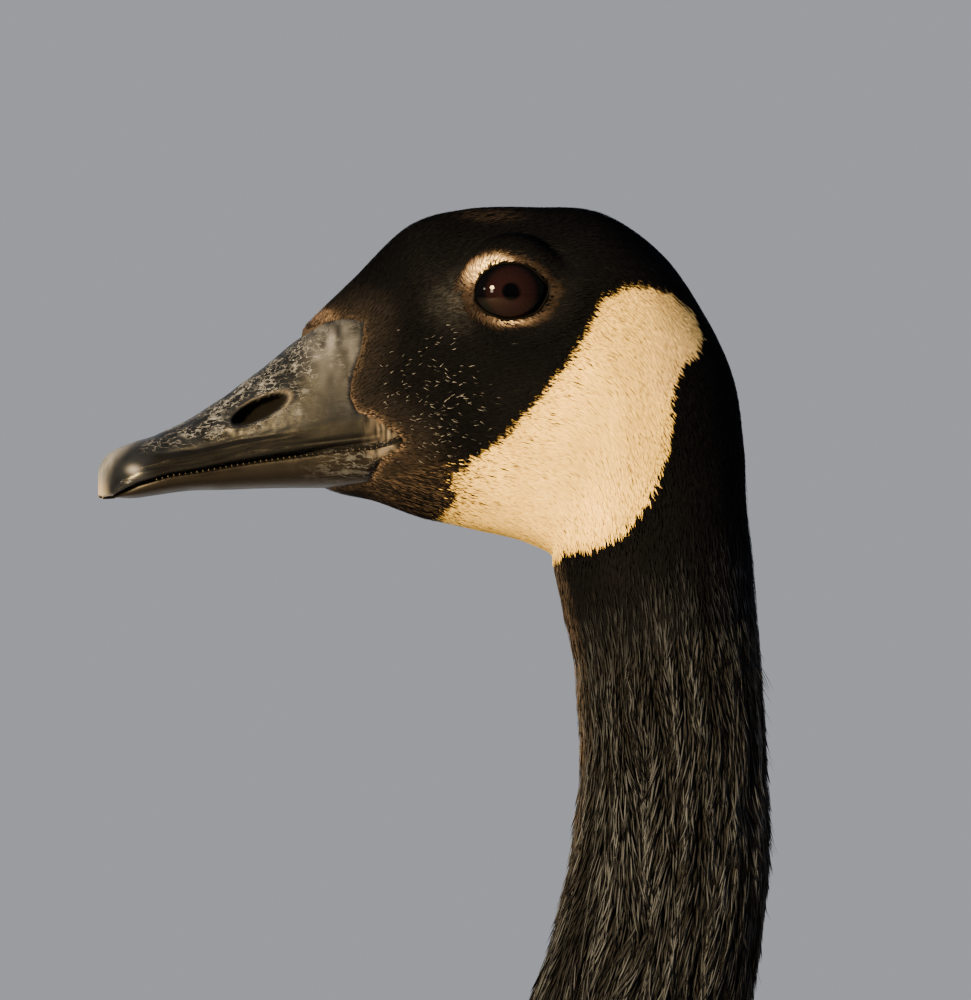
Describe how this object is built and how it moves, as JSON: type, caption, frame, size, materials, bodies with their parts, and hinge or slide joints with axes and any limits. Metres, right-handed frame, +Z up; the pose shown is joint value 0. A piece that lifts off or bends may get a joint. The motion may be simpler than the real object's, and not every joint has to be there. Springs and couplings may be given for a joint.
{
  "type": "standing canada goose model",
  "caption": "Life-size still model of a Canada goose, standing with its neck raised, wings folded and webbed feet flat on the floor.",
  "frame": {"origin": "on the floor under the middle of the model's box, between the feet", "axes": "+Z up; -Y the way the bird faces; +X towards the bird's left side"},
  "size_m": [0.2292, 0.65, 0.74],
  "materials": {
    "black_feather": "matte",
    "body_feather": "matte",
    "wing_feather": "matte",
    "bill_horn": "satin",
    "eye": "gloss",
    "leg_skin": "satin",
    "claw": "satin"
  },
  "bodies": {
    "root": {"head": "black_feather", "bill_upper": "bill_horn", "bill_lower": "bill_horn", "eye_l": "eye", "eye_r": "eye", "neck_upper": "black_feather", "neck_lower": "black_feather", "torso": "body_feather", "wing_l": "wing_feather", "wing_r": "wing_feather", "tail": "black_feather", "thigh_l": "body_feather", "shank_l": "leg_skin", "foot_l": "leg_skin", "claw_inner_l": "claw", "claw_middle_l": "claw", "claw_outer_l": "claw", "claw_hind_l": "claw", "thigh_r": "body_feather", "shank_r": "leg_skin", "foot_r": "leg_skin", "claw_inner_r": "claw", "claw_middle_r": "claw", "claw_outer_r": "claw", "claw_hind_r": "claw"}
  },
  "joints": []
}
